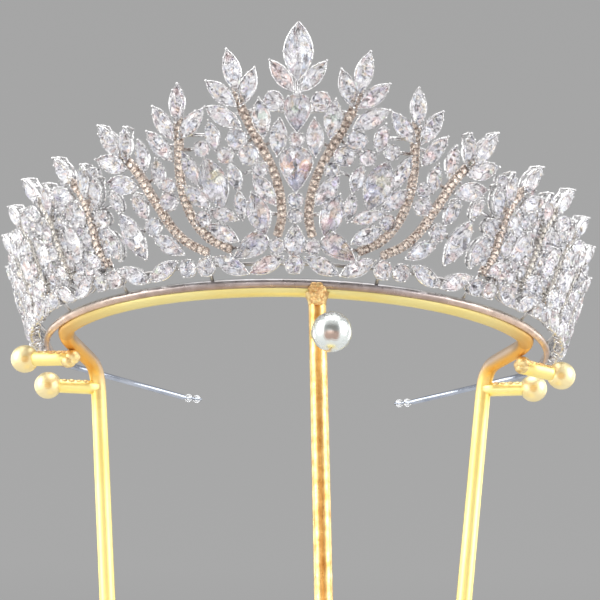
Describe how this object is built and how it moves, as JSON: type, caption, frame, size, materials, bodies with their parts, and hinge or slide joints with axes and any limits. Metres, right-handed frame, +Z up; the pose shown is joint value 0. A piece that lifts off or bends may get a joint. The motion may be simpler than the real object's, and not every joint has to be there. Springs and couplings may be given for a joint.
{
  "type": "bridal crown on its display stand",
  "caption": "Open bridal crown of clear marquise, pear and round stones in white metal on an arc band with bare wire ends, resting on a gilt rod stand with ball knobs.",
  "frame": {"origin": "on the floor, under the crown's axis, on the underside of the stand's base plate", "axes": "+Z up along the crown's axis, the crown's front towards -Y, +X to the right of someone who faces the front"},
  "size_m": [0.182, 0.1786, 0.2752],
  "materials": {
    "white_metal": "polished white metal",
    "clear_stone": "clear, faceted",
    "clear_bead": "clear, polished round",
    "gilt": "polished gilt",
    "silver_ball": "mirror polished"
  },
  "bodies": {
    "root": {"crown_frame": "white_metal", "top_marquise": "clear_stone", "upper_pear": "clear_stone", "neck_round": "clear_stone", "middle_pear": "clear_stone", "throat_round": "clear_stone", "lower_round": "clear_stone", "lower_pear": "clear_stone", "base_round": "clear_stone", "crown_leaf_left": "clear_stone", "crown_leaf_right": "clear_stone", "upper_round_left": "clear_stone", "upper_round_right": "clear_stone", "collar_marquise_left": "clear_stone", "collar_marquise_right": "clear_stone", "neck_marquise_left": "clear_stone", "neck_marquise_right": "clear_stone", "sprig_middle_left": "clear_stone", "sprig_middle_right": "clear_stone", "sprig_outer_left": "clear_stone", "sprig_outer_right": "clear_stone", "sprig_inner_left": "clear_stone", "sprig_inner_right": "clear_stone", "shoulder_leaf_left": "clear_stone", "shoulder_leaf_right": "clear_stone", "line_round_upper_left": "clear_stone", "line_round_upper_right": "clear_stone", "line_round_middle_left": "clear_stone", "line_round_middle_right": "clear_stone", "line_round_lower_left": "clear_stone", "line_round_lower_right": "clear_stone", "waist_marquise_left": "clear_stone", "waist_marquise_right": "clear_stone", "hip_marquise_left": "clear_stone", "hip_marquise_right": "clear_stone", "lying_pear_left": "clear_stone", "lying_pear_right": "clear_stone", "line_end_round_left": "clear_stone", "line_end_round_right": "clear_stone", "side_marquise_left": "clear_stone", "side_marquise_right": "clear_stone", "side_stones_left": "clear_stone", "side_stones_right": "clear_stone", "fan_stones_left": "clear_stone", "fan_stones_right": "clear_stone", "row_stones_left": "clear_stone", "row_stones_right": "clear_stone", "end_beads_left": "clear_bead", "end_beads_right": "clear_bead", "stand_frame": "gilt", "front_knob": "silver_ball", "upper_knob_left": "gilt", "upper_knob_right": "gilt", "lower_knob_left": "gilt", "lower_knob_right": "gilt"}
  },
  "joints": []
}
